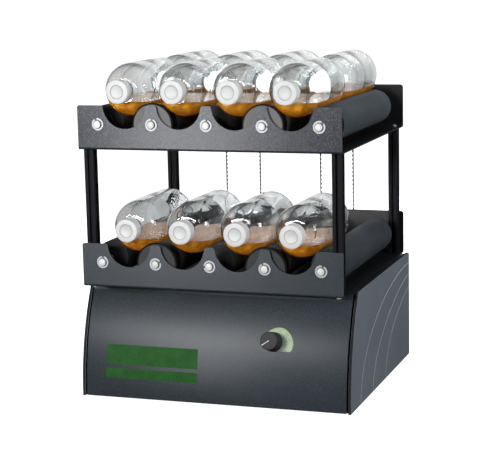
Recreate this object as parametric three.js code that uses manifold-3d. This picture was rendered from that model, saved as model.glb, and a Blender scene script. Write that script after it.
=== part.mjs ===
// Two-deck bench-top bottle roller with twelve bottles on its rollers.
// Millimetres, +Z up, front faces -Y. The origin is the middle of the
// footprint, at the height of the surface the feet stand on.
import * as THREE from 'three';
import { mergeVertices } from 'three/addons/utils/BufferGeometryUtils.js';
import Module from 'manifold-3d';

const wasm = await Module();
wasm.setup();

// ---------------------------------------------------------------- dimensions
const PITCH = 124;            // spacing of the roller axles in a deck
const N_ROLL = 5;             // rollers in a deck
const FOOT_H = 3;             // gap under the side panels
const BASE_H = 250.6;         // side panel height
const AXLE_LO = 308.5;        // height of the lower roller axles
const DECK = 302;             // lower axle to upper axle
const AXLE_UP = AXLE_LO + DECK;
const DEPTH = 544.5;          // front face of the front flange to back of the rear flange
const Y_MIN = -37;            // face of the foremost caps
const Y_MAX = 601;            // end of the longest roller shaft
const Y_SHIFT = -(Y_MIN + Y_MAX) / 2;

const TRAY_W = 296.1;         // half width of a tray
const SHEET = 3;              // tray sheet
const BEND = 5;               // outer bend radius of a tray
const TRAY_BELOW = 55.6;      // axle to underside of the tray floor
const FRONT_ABOVE = 40.6;     // axle to top of the scalloped front flange
const REAR_ABOVE = 44.2;      // axle to top of the rear flange
const SCALLOP_R = 50.2;
const SCALLOP_FILLET = 4.5;
const CORNER_R = 5;
const SHAFT_HOLE = 8.5;

const SHAFT_R = 7.94;         // 5/8 inch shafts
const SHAFT_FRONT = -6;
const RING_R = 13.6;          // retaining ring
const DRUM_R = 38.1;          // 3 inch rubber-covered drums
const DRUM_Y0 = 53;
const DRUM_Y1 = 465;
const DISC_R = 46;            // stop disc on each driven roller
const DISC_Y0 = 5;
const DISC_Y1 = 11.5;

const BOTTLE_R = 57;
const BOTTLE_L = 268;
const BOTTLE_GAP = 0.3;       // running clearance between bottle and drum
const BOTTLE_UP = Math.sqrt((DRUM_R + BOTTLE_R + BOTTLE_GAP) ** 2 - (PITCH / 2) ** 2);
const UPPER_FRONT_Y = -37;
const UPPER_REAR_Y = 244;
const LOWER_FRONT_Y = -12;

const POST = 22;              // square slotted post
const POST_X = 279.7;
const POST_FRONT_Y = 26;
const POST_REAR_Y = 515;
const POST_SLOT = 6;
const POST_SLOT_D = 5.5;

const SIDE_X = 309.26;        // outer face of a side panel
const SIDE_T = 7;
const LIP_X = 299.0;          // inner face of the side panel's set-back lip
const COVER_X = 298.6;        // half width of the front-and-top cover
const COVER_T = 2;
const FRONT_ARC = 480;        // radius of the bowed front
const BASE_CORNER = 11;
const REAR_CORNER = 9;

const SEAT_R = 38.8;          // toothed pulley seat, 26 teeth at 10 mm
const FLANGE_R = 45;
const BELT_IN = 39.1;
const BELT_OUT = 43.3;
const BELT_W = 10;
const DRIVE_Y = 557;          // middle of the drive belt
const LIFT2_PITCH_R = 44.56;  // lift pulleys of rollers 2, 28 teeth
const LIFT4_PITCH_R = 41.38;  // lift pulleys of rollers 4, 26 teeth
const LIFT_OUT = 0.7;         // pitch line to back of a lift belt
const LIFT_IN = 2.3;          // pitch line to inside of a lift belt
const LIFT_W = 4.5;
const LIFT2_Y = 596.5;        // middle of the lift belt of rollers 2
const LIFT4_Y = 573;          // middle of the lift belt of rollers 4
const MOTOR_Z = 150;
const MOTOR_SEAT_R = 29.2;    // 20 teeth

const KNOB_X = 131.7;
const KNOB_H = 143;           // height of the knob's foot above the base's bottom edge
const KNOB_R = 21.2;
const KNOB_FACE_R = 19.4;
const KNOB_L = 32;

// ------------------------------------------------------------------- helpers
// One closed, outward-facing, indexed geometry with position only.
function closed(geometry) {
  let g = geometry.index ? geometry.clone() : geometry.clone();
  g.deleteAttribute('normal');
  g.deleteAttribute('uv');
  g = mergeVertices(g, 1e-4);
  const p = g.attributes.position.array;
  const src = g.index.array;
  const keep = [];
  let volume = 0;
  for (let i = 0; i < src.length; i += 3) {
    const [a, b, c] = [src[i], src[i + 1], src[i + 2]];
    if (a === b || b === c || c === a) continue;
    keep.push(a, b, c);
    const ax = p[3 * a], ay = p[3 * a + 1], az = p[3 * a + 2];
    const bx = p[3 * b], by = p[3 * b + 1], bz = p[3 * b + 2];
    const cx = p[3 * c], cy = p[3 * c + 1], cz = p[3 * c + 2];
    volume += ax * (by * cz - bz * cy) + ay * (bz * cx - bx * cz) + az * (bx * cy - by * cx);
  }
  if (volume < 0) for (let i = 0; i < keep.length; i += 3) [keep[i], keep[i + 1]] = [keep[i + 1], keep[i]];
  const out = new THREE.BufferGeometry();
  out.setAttribute('position', g.attributes.position.clone());
  out.setIndex(keep);
  return out;
}

function toManifold(geometry) {
  const g = closed(geometry);
  return new wasm.Manifold(new wasm.Mesh({
    numProp: 3,
    vertProperties: new Float32Array(g.attributes.position.array),
    triVerts: new Uint32Array(g.index.array),
  }));
}

function fromManifold(solid) {
  const m = solid.getMesh();
  const g = new THREE.BufferGeometry();
  g.setAttribute('position', new THREE.BufferAttribute(new Float32Array(m.vertProperties), 3));
  g.setIndex(new THREE.BufferAttribute(new Uint32Array(m.triVerts), 1));
  return g;
}

const join = (first, ...rest) => rest.reduce((s, g) => s.add(toManifold(g)), toManifold(first));
const cut = (solid, ...rest) => rest.reduce((s, g) => s.subtract(toManifold(g)), solid);

// Body of revolution about the Y axis through (x, z); profile is [radius, y].
function turned(profile, segments, x = 0, z = 0) {
  const g = new THREE.LatheGeometry(profile.map(([r, y]) => new THREE.Vector2(r, y)), segments);
  return closed(g).translate(x, 0, z);
}

// Outline in the XZ plane pushed from y0 to y1.
function alongY(shape, y0, y1, curve = 8) {
  const g = new THREE.ExtrudeGeometry(shape, { depth: y1 - y0, bevelEnabled: false, curveSegments: curve });
  return g.rotateX(Math.PI / 2).translate(0, y1, 0);
}

// Outline in the YZ plane pushed from x0 to x1.
function alongX(shape, x0, x1, curve = 8) {
  const g = new THREE.ExtrudeGeometry(shape, { depth: x1 - x0, bevelEnabled: false, curveSegments: curve });
  const m = new THREE.Matrix4().set(0, 0, 1, x0, 1, 0, 0, 0, 0, 1, 0, 0, 0, 0, 0, 1);
  return g.applyMatrix4(m);
}

// Outline in the XY plane pushed from z0 to z1.
function alongZ(shape, z0, z1, curve = 8) {
  return new THREE.ExtrudeGeometry(shape, { depth: z1 - z0, bevelEnabled: false, curveSegments: curve }).translate(0, 0, z0);
}

function outline(points, holes = []) {
  const s = new THREE.Shape(points.map(([a, b]) => new THREE.Vector2(a, b)));
  for (const h of holes) s.holes.push(new THREE.Path(h.map(([a, b]) => new THREE.Vector2(a, b))));
  return s;
}

const box = (x0, x1, y0, y1, z0, z1) =>
  new THREE.BoxGeometry(x1 - x0, y1 - y0, z1 - z0).translate((x0 + x1) / 2, (y0 + y1) / 2, (z0 + z1) / 2);

// Points on an arc about (ca, cb), angles in degrees.
function arc(ca, cb, r, from, to, steps) {
  const pts = [];
  for (let i = 0; i <= steps; i++) {
    const t = (from + (to - from) * i / steps) * Math.PI / 180;
    pts.push([ca + r * Math.cos(t), cb + r * Math.sin(t)]);
  }
  return pts;
}

// Convex outline around circles [a, b, r].
function beltLine(circles, steps = 28) {
  const pts = [];
  for (const [a, b, r] of circles) pts.push(...arc(a, b, r, 0, 360 - 360 / steps, steps - 1));
  pts.sort((p, q) => p[0] - q[0] || p[1] - q[1]);
  const cross = (o, p, q) => (p[0] - o[0]) * (q[1] - o[1]) - (p[1] - o[1]) * (q[0] - o[0]);
  const half = (list) => {
    const h = [];
    for (const p of list) {
      while (h.length > 1 && cross(h[h.length - 2], h[h.length - 1], p) <= 1e-6) h.pop();
      h.push(p);
    }
    h.pop();
    return h;
  };
  return [...half(pts), ...half([...pts].reverse())];
}

const paint = (color, roughness, metalness) => new THREE.MeshStandardMaterial({ color, roughness, metalness });
const GREY = paint(0x7a7d84, 0.6, 0.3);
const SLATE = paint(0x50555b, 0.6, 0.3);
const BASE = paint(0x4a4e54, 0.55, 0.3);
const BLACK = paint(0x1a1a1f, 0.6, 0.2);
const RUBBER = paint(0x3b4046, 0.9, 0);
const STEEL = paint(0xd8d8d6, 0.25, 1);
const PULLEY = paint(0xb9bcc0, 0.4, 1);
const GLASS = paint(0xdfe8ea, 0.05, 0);
const PLASTIC = paint(0x17171a, 0.5, 0);

const machine = new THREE.Group();
machine.position.set(0, Y_SHIFT, 0);
const root = new THREE.Group();
root.add(machine);

function piece(name, geometry, material, parent = machine) {
  const m = new THREE.Mesh(closed(geometry), material);
  m.name = name;
  parent.add(m);
  return m;
}

const rollerX = (i) => (i - (N_ROLL - 1) / 2) * PITCH;
const trackX = (i) => (i - (N_ROLL - 2) / 2) * PITCH;

// --------------------------------------------------------------------- base
const Z0 = FOOT_H;
const frontY = (h) => FRONT_ARC - Math.sqrt(FRONT_ARC * FRONT_ARC - h * h);

// Side outline of the base, in [y, z], set in by d from the outer edge.
function sideOutline(d) {
  const top = BASE_H - d;
  const pts = [];
  const r = Math.max(BASE_CORNER - d, 2);
  const hEnd = top - r;
  for (let i = 0; i <= 12; i++) {
    const h = d + (hEnd - d) * i / 12;
    pts.push([frontY(h) + d / Math.cos(Math.asin(h / FRONT_ARC)), Z0 + h]);
  }
  const [ya] = pts[pts.length - 1];
  const slope = Math.asin(hEnd / FRONT_ARC) * 180 / Math.PI;
  pts.push(...arc(ya + r * Math.cos(slope * Math.PI / 180), Z0 + hEnd, r, 180 - slope, 90, 5).slice(1));
  const rr = Math.max(REAR_CORNER - d, 2);
  pts.push(...arc(DEPTH - d - rr, Z0 + top - rr, rr, 90, 0, 4));
  pts.push([DEPTH - d, Z0 + d]);
  return pts;
}

for (const [side, s] of [['left', -1], ['right', 1]]) {
  const outer = alongX(outline(sideOutline(0)), SIDE_X - SIDE_T, SIDE_X);
  const inner = alongX(outline(sideOutline(5)), LIP_X, SIDE_X - SIDE_T + 1);
  const solid = fromManifold(join(outer, inner));
  if (s < 0) solid.scale(-1, 1, 1);
  piece(`side_panel_${side}`, solid, BASE);
}

// Cover: one bent sheet, bowed front and flat top.
const COVER_TOP = AXLE_LO - TRAY_BELOW - 3.6;
const knobTilt = Math.asin(KNOB_H / FRONT_ARC);
const knobSeat = new THREE.Vector3(KNOB_X, frontY(KNOB_H), Z0 + KNOB_H);
function coverLine(d) {
  const h0 = 1.5;
  const top = COVER_TOP - d;
  const r = 13 - d;
  const hEnd = top - Z0 - r;
  const pts = [];
  for (let i = 0; i <= 14; i++) {
    const h = h0 + (hEnd - h0) * i / 14;
    pts.push([frontY(h) + (0.6 + d) / Math.cos(Math.asin(h / FRONT_ARC)), Z0 + h]);
  }
  const [ya] = pts[pts.length - 1];
  const slope = Math.asin(hEnd / FRONT_ARC) * 180 / Math.PI;
  pts.push(...arc(ya + r * Math.cos(slope * Math.PI / 180), Z0 + hEnd, r, 180 - slope, 90, 5).slice(1));
  pts.push([DEPTH - SHEET - 0.4, top]);
  return pts;
}
{
  const sheet = alongX(outline([...coverLine(0), ...coverLine(COVER_T).reverse()]), -COVER_X, COVER_X);
  const spacers = [];
  for (const x of [-276, 276]) for (const y of [84, 500]) {
    spacers.push(new THREE.CylinderGeometry(7, 7, 5, 12).rotateX(Math.PI / 2).translate(x, y, AXLE_LO - TRAY_BELOW - 0.3 - 2.5));
  }
  const hole = new THREE.CylinderGeometry(4, 4, 30, 12).rotateX(-knobTilt)
    .translate(knobSeat.x, knobSeat.y, knobSeat.z);
  piece('base_cover', fromManifold(cut(join(sheet, ...spacers), hole)), BASE);
}

piece('bottom_plate', box(-COVER_X, COVER_X, 4.5, DEPTH - SHEET - 0.4, Z0 + 5, Z0 + 8), BLACK);

for (const [name, x, y] of [['foot_front_left', -255, 62], ['foot_front_right', 255, 62],
  ['foot_rear_left', -255, 490], ['foot_rear_right', 255, 490]]) {
  const g = new THREE.LatheGeometry([[0, 0], [13, 0], [14.5, 1.2], [15, Z0 + 4.7], [0, Z0 + 4.7]]
    .map(([r, z]) => new THREE.Vector2(r, z)), 18);
  piece(name, closed(g).rotateX(Math.PI / 2).translate(x, y, 0), RUBBER);
}

// Rear panel with the power entry and motor shaft openings.
const ENTRY_X = -215, ENTRY_Z = 92;
{
  const z1 = COVER_TOP - 0.4;
  let solid = toManifold(box(-COVER_X, COVER_X, DEPTH - SHEET, DEPTH, Z0 + 5, z1));
  solid = cut(solid, box(ENTRY_X - 14, ENTRY_X + 14, DEPTH - 9, DEPTH + 5, ENTRY_Z - 29, ENTRY_Z + 29),
    turned([[0, DEPTH - 9], [8, DEPTH - 9], [8, DEPTH + 5], [0, DEPTH + 5]], 12, 0, MOTOR_Z));
  for (let i = 0; i < 7; i++) solid = cut(solid, box(150 + i * 14, 156 + i * 14, DEPTH - 9, DEPTH + 5, 70, 120));
  piece('rear_panel', fromManifold(solid), BLACK);
}

// Power entry: flanged block with a mains socket below and a rocker well above.
{
  const y0 = DEPTH - SHEET - 26, y1 = DEPTH;
  const body = box(ENTRY_X - 13.6, ENTRY_X + 13.6, y0, y1 + 1, ENTRY_Z - 28.6, ENTRY_Z + 28.6);
  const flange = box(ENTRY_X - 17, ENTRY_X + 17, y1 + 0.4, y1 + 3, ENTRY_Z - 32, ENTRY_Z + 32);
  const zs = ENTRY_Z - 13;
  const socket = alongY(outline([[ENTRY_X - 11.6, zs - 8], [ENTRY_X + 11.6, zs - 8], [ENTRY_X + 11.6, zs + 5], [ENTRY_X + 8.6, zs + 8],
    [ENTRY_X - 8.6, zs + 8], [ENTRY_X - 11.6, zs + 5]]), y1 - 15, y1 + 5);
  const well = box(ENTRY_X - 9, ENTRY_X + 9, y1 - 12, y1 + 5, ENTRY_Z + 4, ENTRY_Z + 26);
  const solid = cut(join(body, flange), socket, well);
  piece('power_entry', fromManifold(solid), PLASTIC);
}

// Rocker: rests tilted with its lower half pressed in.
const ROCK_Y = DEPTH - 2.5, ROCK_Z = ENTRY_Z + 15, ROCK_TILT = 7;
{
  const g = alongX(outline([[-4, -5], [2.2, -8.6], [4.6, -8.6], [3.4, 0], [4.6, 8.6], [2.2, 8.6], [-4, 5]]), -8.4, 8.4);
  g.rotateX(-ROCK_TILT * Math.PI / 180).translate(ENTRY_X, ROCK_Y, ROCK_Z);
  piece('power_switch', g, PLASTIC);
}

// Speed control: potentiometer behind the cover, knob in front.
const control = new THREE.Group();
control.position.copy(knobSeat);
control.rotation.x = -knobTilt;
machine.add(control);
piece('speed_pot', turned([[0, -14.5], [3, -14.5], [3, 4.5], [12, 4.5], [12, 20], [0, 20]], 16), STEEL, control);
piece('speed_knob', turned([[3.5, -0.9], [KNOB_R - 1.2, -0.9], [KNOB_R, -2.2], [KNOB_FACE_R, 1 - KNOB_L], [KNOB_FACE_R - 1, -KNOB_L],
  [0, -KNOB_L], [0, 3.8 - KNOB_L], [3.5, 3.8 - KNOB_L], [3.5, -0.9]], 24), PLASTIC, control);

// Gearmotor on the inside of the rear panel, pulley on its shaft outside.
{
  const yf = DEPTH - SHEET - 0.4;
  const gearbox = box(-42, 42, yf - 62, yf, MOTOR_Z - 42, MOTOR_Z + 42);
  const motor = turned([[0, yf - 190], [34, yf - 190], [37, yf - 186], [37, yf - 61], [0, yf - 61]], 18, 0, MOTOR_Z);
  const shaft = turned([[0, yf - 2], [6, yf - 2], [6, 566], [0, 566]], 12, 0, MOTOR_Z);
  piece('gearmotor', fromManifold(join(gearbox, motor, shaft)), STEEL);
}
{
  const a = DRIVE_Y - BELT_W / 2 - 0.5, b = DRIVE_Y + BELT_W / 2 + 0.5;
  piece('motor_pulley', turned([[6.4, a - 1.5], [36, a - 1.5], [36, a], [MOTOR_SEAT_R, a], [MOTOR_SEAT_R, b], [36, b], [36, b + 1.5], [6.4, b + 1.5], [6.4, a - 1.5]],
    18, 0, MOTOR_Z), PULLEY);
}
{
  const loop = (inner) => beltLine([
    [-PITCH, AXLE_LO, inner ? BELT_IN : BELT_OUT],
    [PITCH, AXLE_LO, inner ? BELT_IN : BELT_OUT],
    [0, MOTOR_Z, inner ? MOTOR_SEAT_R + 0.35 : MOTOR_SEAT_R + 4.5]]);
  piece('drive_belt', alongY(outline(loop(false), [loop(true)]), DRIVE_Y - BELT_W / 2, DRIVE_Y + BELT_W / 2), RUBBER);
}

// -------------------------------------------------------------------- trays
function tray(axle) {
  const b = axle - TRAY_BELOW, o = BEND, i = BEND - SHEET;
  const profile = [
    [0, axle + FRONT_ABOVE], ...arc(o, b + o, o, 180, 270, 4), ...arc(DEPTH - o, b + o, o, 270, 360, 4),
    [DEPTH, axle + REAR_ABOVE], [DEPTH - SHEET, axle + REAR_ABOVE],
    ...arc(DEPTH - o, b + o, i, 360, 270, 3), ...arc(o, b + o, i, 270, 180, 3), [SHEET, axle + FRONT_ABOVE]];
  let solid = toManifold(alongX(outline(profile), -TRAY_W, TRAY_W));
  const top = axle + FRONT_ABOVE, R = SCALLOP_R, f = SCALLOP_FILLET;
  for (let t = 0; t < N_ROLL - 1; t++) {
    const x = trackX(t);
    const a = Math.asin(f / R) * 180 / Math.PI;
    const pts = [[x - R - f, top + 20], ...arc(x - R - f, top - f, f, 90, 12, 3), ...arc(x, top, R, 180 + a, 360 - a, 18),
      ...arc(x + R + f, top - f, f, 168, 90, 3), [x + R + f, top + 20]];
    solid = cut(solid, alongY(outline(pts), -5, 12));
  }
  for (let r = 0; r < N_ROLL; r++) {
    solid = cut(solid, turned([[0, -5], [SHAFT_HOLE, -5], [SHAFT_HOLE, DEPTH + 5], [0, DEPTH + 5]], 16, rollerX(r), axle));
  }
  for (const s of [-1, 1]) for (const [y0, y1, z, r] of [[-5, 12, top, CORNER_R], [DEPTH - 12, DEPTH + 5, axle + REAR_ABOVE, CORNER_R + 2]]) {
    const x = s * TRAY_W;
    const c = arc(x - s * r, z - r, r, s > 0 ? 0 : 180, 90, 4);
    solid = cut(solid, alongY(outline([...c, [x - s * r, z + 5], [x + s * 5, z + 5], [x + s * 5, z - r]]), y0, y1));
  }
  return fromManifold(solid);
}
piece('lower_tray', tray(AXLE_LO), SLATE);
piece('upper_tray', tray(AXLE_UP), GREY);

// -------------------------------------------------------------------- posts
{
  const h = POST / 2, w = POST_SLOT / 2, d = h - POST_SLOT_D;
  const section = [[-h, -h], [-w, -h], [-w, -d], [w, -d], [w, -h], [h, -h], [h, -w], [d, -w], [d, w], [h, w],
    [h, h], [w, h], [w, d], [-w, d], [-w, h], [-h, h], [-h, w], [-d, w], [-d, -w], [-h, -w]];
  const z0 = AXLE_LO - TRAY_BELOW + SHEET + 0.3, z1 = AXLE_UP - TRAY_BELOW - 0.3;
  for (const [name, x, y] of [['post_front_left', -POST_X, POST_FRONT_Y], ['post_front_right', POST_X, POST_FRONT_Y],
    ['post_rear_left', -POST_X, POST_REAR_Y], ['post_rear_right', POST_X, POST_REAR_Y]]) {
    piece(name, alongZ(outline(section), z0, z1).translate(x, y, 0), BLACK);
  }
}

// ------------------------------------------------------------------ rollers
for (const [deck, axle] of [['lower', AXLE_LO], ['upper', AXLE_UP]]) {
  for (let r = 0; r < N_ROLL; r++) {
    const driven = r === 1 || r === 3;
    const x = rollerX(r);
    const rear = r === 1 ? Y_MAX : r === 3 ? 582 : 551;
    piece(`${deck}_shaft_${r + 1}`, turned([
      [0, SHAFT_FRONT], [SHAFT_R, SHAFT_FRONT], [SHAFT_R, -2.2], [RING_R, -2.2], [RING_R, -0.5], [SHAFT_R, -0.5],
      [SHAFT_R, DEPTH + 0.5], [RING_R, DEPTH + 0.5], [RING_R, DEPTH + 2.2], [SHAFT_R, DEPTH + 2.2],
      [SHAFT_R, rear], [0, rear]], 10, x, axle), STEEL);
    const bore = SHAFT_R + 0.3;
    const front = driven
      ? [[bore, DISC_Y0], [DISC_R, DISC_Y0], [DISC_R, DISC_Y1], [15, DISC_Y1], [15, DRUM_Y0], [DRUM_R, DRUM_Y0]]
      : [[bore, DRUM_Y0 - 6], [15, DRUM_Y0 - 6], [15, DRUM_Y0], [DRUM_R, DRUM_Y0]];
    piece(`${deck}_roller_${r + 1}`, turned([...front, [DRUM_R, DRUM_Y1], [15, DRUM_Y1], [15, DRUM_Y1 + 6], [bore, DRUM_Y1 + 6], front[0]],
      16, x, axle), RUBBER);
  }
}

// ----------------------------------------------------- pulleys and lift belts
{
  const f = 1.5, bore = SHAFT_R + 0.3;
  const seat = (y, e, seatR, flangeR) => [[flangeR, y - e - f], [flangeR, y - e], [seatR, y - e], [seatR, y + e], [flangeR, y + e], [flangeR, y + e + f]];
  const ring = (pts) => [[bore, pts[0][1]], ...pts, [bore, pts[pts.length - 1][1]], [bore, pts[0][1]]];
  const hub = (pts, next) => [[17, pts[pts.length - 1][1]], [17, next[0][1]]];
  const drive = seat(DRIVE_Y, BELT_W / 2 + 0.5, SEAT_R, FLANGE_R);
  const e = LIFT_W / 2 + 0.4;
  for (const [n, x, y, r] of [[2, -PITCH, LIFT2_Y, LIFT2_PITCH_R], [4, PITCH, LIFT4_Y, LIFT4_PITCH_R]]) {
    const lift = seat(y, e, r - LIFT_IN - 0.3, r + 3.2);
    piece(`lower_pulley_${n}`, turned(ring([...drive, ...hub(drive, lift), ...lift]), 16, x, AXLE_LO), PULLEY);
    piece(`upper_pulley_${n}`, turned(ring(lift), 16, x, AXLE_UP), PULLEY);
    const loop = (rad) => beltLine([[x, AXLE_LO, rad], [x, AXLE_UP, rad]]);
    piece(`lift_belt_${n}`, alongY(outline(loop(r + LIFT_OUT), [loop(r - LIFT_IN)]), y - LIFT_W / 2, y + LIFT_W / 2), RUBBER);
  }
}

// ------------------------------------------------------------------ bottles
// Glass shell with its cap; a pin hole in the cap opens the inside.
const SHELL = [
  [1.5, 0], [25.6, 0], [25.6, 26], [22, 28], [23.5, 36], [42, 51], [53.6, 65], [BOTTLE_R, 80],
  [BOTTLE_R, BOTTLE_L - 6], [50, BOTTLE_L], [0, BOTTLE_L],
  [0, BOTTLE_L - 5], [54.3, BOTTLE_L - 8], [54.3, 80], [22, 41], [18, 5], [1.5, 3]];
function bottle(name, track, axle, y) {
  piece(name, turned([...SHELL, SHELL[0]].map(([r, d]) => [r, y + d]), 14, trackX(track), axle + BOTTLE_UP), GLASS);
}
for (let t = 0; t < N_ROLL - 1; t++) {
  bottle(`lower_bottle_${t + 1}`, t, AXLE_LO, LOWER_FRONT_Y);
  bottle(`upper_front_bottle_${t + 1}`, t, AXLE_UP, UPPER_FRONT_Y);
  bottle(`upper_rear_bottle_${t + 1}`, t, AXLE_UP, UPPER_REAR_Y);
}

export default root;
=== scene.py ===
# Two-deck bench-top bottle roller: looks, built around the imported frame.
import bpy, bmesh, math, random
from mathutils import Vector, Matrix

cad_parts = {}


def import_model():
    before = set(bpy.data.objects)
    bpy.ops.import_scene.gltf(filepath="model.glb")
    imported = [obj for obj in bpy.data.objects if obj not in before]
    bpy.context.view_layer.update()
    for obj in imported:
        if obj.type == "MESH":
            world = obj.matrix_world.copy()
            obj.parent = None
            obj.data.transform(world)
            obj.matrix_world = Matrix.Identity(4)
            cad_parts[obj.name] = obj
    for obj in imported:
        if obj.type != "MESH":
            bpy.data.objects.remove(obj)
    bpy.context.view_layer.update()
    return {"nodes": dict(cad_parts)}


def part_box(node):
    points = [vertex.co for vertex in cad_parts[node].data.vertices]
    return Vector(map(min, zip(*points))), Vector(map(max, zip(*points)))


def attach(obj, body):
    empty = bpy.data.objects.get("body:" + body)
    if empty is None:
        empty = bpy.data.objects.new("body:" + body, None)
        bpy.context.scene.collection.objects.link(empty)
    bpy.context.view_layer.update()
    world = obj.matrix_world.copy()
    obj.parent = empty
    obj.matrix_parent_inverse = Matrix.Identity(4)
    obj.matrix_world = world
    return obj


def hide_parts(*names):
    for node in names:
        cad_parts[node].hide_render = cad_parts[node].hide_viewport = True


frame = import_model()
scene = bpy.context.scene
scene.view_settings.view_transform = 'Standard'
scene.view_settings.look = 'None'

MM = 0.001
YS = -282.0                      # plate frame (front flange at 0) to row frame
P = 124.0
LO, UP = 308.5, 610.5
DEPTH = 544.5
BR, BL, DR = 57.0, 268.0, 38.1
BU = math.sqrt((DR + BR + .3) ** 2 - (P / 2) ** 2)
AX = [(i - 2) * P for i in range(5)]
TX = [(i - 1.5) * P for i in range(4)]
TRAY_BELOW, FRONT_ABOVE, REAR_ABOVE, TRAY_W = 55.6, 40.6, 44.2, 296.1

# ------------------------------------------------------------------- camera
def make_camera():
    az, el, ro = math.radians(19.186), math.radians(9.8547), math.radians(-1.2821)
    d = Vector((math.sin(az) * math.cos(el), -math.cos(az) * math.cos(el), math.sin(el)))
    target = Vector((2.5844 * P - 248, YS - 6.2, .6004 * P + LO)) * MM
    c = target + d * 26.9396 * P * MM
    right = (-d).cross(Vector((0, 0, 1))).normalized()
    up = right.cross(-d)
    r2 = right * math.cos(ro) + up * math.sin(ro)
    u2 = -right * math.sin(ro) + up * math.cos(ro)
    m = Matrix((r2, u2, d)).transposed().to_4x4()
    m.translation = c
    cam = bpy.data.cameras.new("camera")
    cam.sensor_fit = 'HORIZONTAL'
    cam.sensor_width = 36.0
    cam.lens = 1583.9 / 480 * 36
    cam.clip_end = 50
    o = bpy.data.objects.new("camera", cam)
    scene.collection.objects.link(o)
    o.matrix_world = m
    scene.camera = o
make_camera()

# ---------------------------------------------------------------- materials
def nodes_of(name):
    m = bpy.data.materials.new(name)
    m.use_nodes = True
    nt = m.node_tree
    return m, nt, nt.nodes["Principled BSDF"]

def put(nt, kind, **kw):
    n = nt.nodes.new(kind)
    for k, v in kw.items():
        if k in n.inputs:
            n.inputs[k].default_value = v
        else:
            setattr(n, k, v)
    return n

def coords(nt, scale=(1, 1, 1)):
    tc = put(nt, "ShaderNodeTexCoord")
    mp = put(nt, "ShaderNodeMapping")
    mp.inputs["Scale"].default_value = scale
    nt.links.new(tc.outputs["Object"], mp.inputs["Vector"])
    return mp.outputs["Vector"]

def noise(nt, vec, scale, detail=3, rough=.5, dist=0):
    n = put(nt, "ShaderNodeTexNoise")
    n.inputs["Scale"].default_value = scale
    n.inputs["Detail"].default_value = detail
    n.inputs["Roughness"].default_value = rough
    n.inputs["Distortion"].default_value = dist
    nt.links.new(vec, n.inputs["Vector"])
    return n.outputs["Fac"]

def ramp(nt, fac, stops):
    r = put(nt, "ShaderNodeValToRGB")
    els = r.color_ramp.elements
    while len(els) > 2:
        els.remove(els[-1])
    for i, (p, c) in enumerate(stops):
        e = els[i] if i < 2 else els.new(p)
        e.position = p
        e.color = (*c, 1) if len(c) == 3 else c
    nt.links.new(fac, r.inputs["Fac"])
    return r.outputs["Color"]

def mix(nt, a, b, fac, mode='MIX'):
    m = put(nt, "ShaderNodeMix", data_type='RGBA', blend_type=mode)
    if isinstance(fac, (int, float)):
        m.inputs["Factor"].default_value = fac
    else:
        nt.links.new(fac, m.inputs["Factor"])
    nt.links.new(a, m.inputs[6])
    nt.links.new(b, m.inputs[7])
    return m.outputs[2]

def rough_range(nt, fac, lo, hi):
    m = put(nt, "ShaderNodeMapRange")
    m.inputs["To Min"].default_value = lo
    m.inputs["To Max"].default_value = hi
    nt.links.new(fac, m.inputs["Value"])
    return m.outputs["Result"]

def bump(nt, height, strength, dist, normal=None):
    b = put(nt, "ShaderNodeBump")
    b.inputs["Strength"].default_value = strength
    b.inputs["Distance"].default_value = dist
    nt.links.new(height, b.inputs["Height"])
    if normal is not None:
        nt.links.new(normal, b.inputs["Normal"])
    return b.outputs["Normal"]

def g(v, t=0.0):
    return (v * (1 - t), v, v * (1 + t))

def textured_paint(name, dark, mid, light, grain=900, speck=330, rough=(.42, .6), strength=.5, dist=.0004, spec=.5):
    """Powder coat: fine orange peel, small light and dark specks, slow cloudiness."""
    m, nt, b = nodes_of(name)
    v = coords(nt)
    n1 = noise(nt, v, speck, 3, .55)
    n2 = noise(nt, v, grain, 2, .5)
    n3 = noise(nt, v, 9, 3, .5)
    c1 = ramp(nt, n1, [(.34, dark), (.66, light), (.5, mid)])
    c2 = ramp(nt, n2, [(.3, dark), (.7, light), (.5, mid)])
    c = mix(nt, c1, c2, .45)
    c3 = ramp(nt, n3, [(.3, (.9, .9, .9)), (.7, (1.08, 1.08, 1.08))])
    c = mix(nt, c, c3, 1.0, 'MULTIPLY')
    nt.links.new(c, b.inputs["Base Color"])
    nt.links.new(rough_range(nt, n1, *rough), b.inputs["Roughness"])
    nb = bump(nt, n1, strength, dist)
    nb = bump(nt, n2, strength * .6, dist * .5, nb)
    nt.links.new(nb, b.inputs["Normal"])
    b.inputs["Specular IOR Level"].default_value = spec
    return m

M = {}
# Both trays carry one paint, split here into two copies matched to how each deck is lit. The upper copy's strong
# light and dark specks are partly the paint's own specks and partly painted highlight standing in for the sparkle of
# its sheen. The lower copy is a flat, low-contrast version for the dimmer lower deck (painted shade).
M["upper_paint"] = textured_paint("upper_paint", (.008, .0095, .014), (.024, .0275, .038), (.078, .086, .11), grain=760, speck=360, rough=(.19, .29), strength=.5, dist=.00022, spec=.16)
M["lower_paint"] = textured_paint("lower_paint", (.024, .03, .037), (.032, .04, .05), (.042, .052, .064), grain=1300, speck=700, rough=(.28, .36), strength=.3, dist=.0004, spec=.125)
M["base_paint"] = textured_paint("base_paint", (.02, .0255, .032), (.028, .036, .0445), (.038, .048, .058), grain=900, speck=300, rough=(.26, .44), strength=.3, dist=.0004, spec=.1)
M["side_paint"] = textured_paint("side_paint", (.09, .105, .128), (.118, .138, .166), (.147, .17, .205), grain=1300, speck=700, rough=(.42, .55), strength=.3, spec=.4)
M["black_paint"] = textured_paint("black_paint", (.0035, .0038, .0045), (.006, .0065, .0075), (.011, .0115, .013), grain=1300, speck=700, rough=(.4, .55), strength=.25, spec=.22)
M["post_black"] = textured_paint("post_black", (.004, .004, .006), (.007, .007, .01), (.012, .012, .017), grain=1600, speck=600, rough=(.55, .7), strength=.12, spec=.05)

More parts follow.
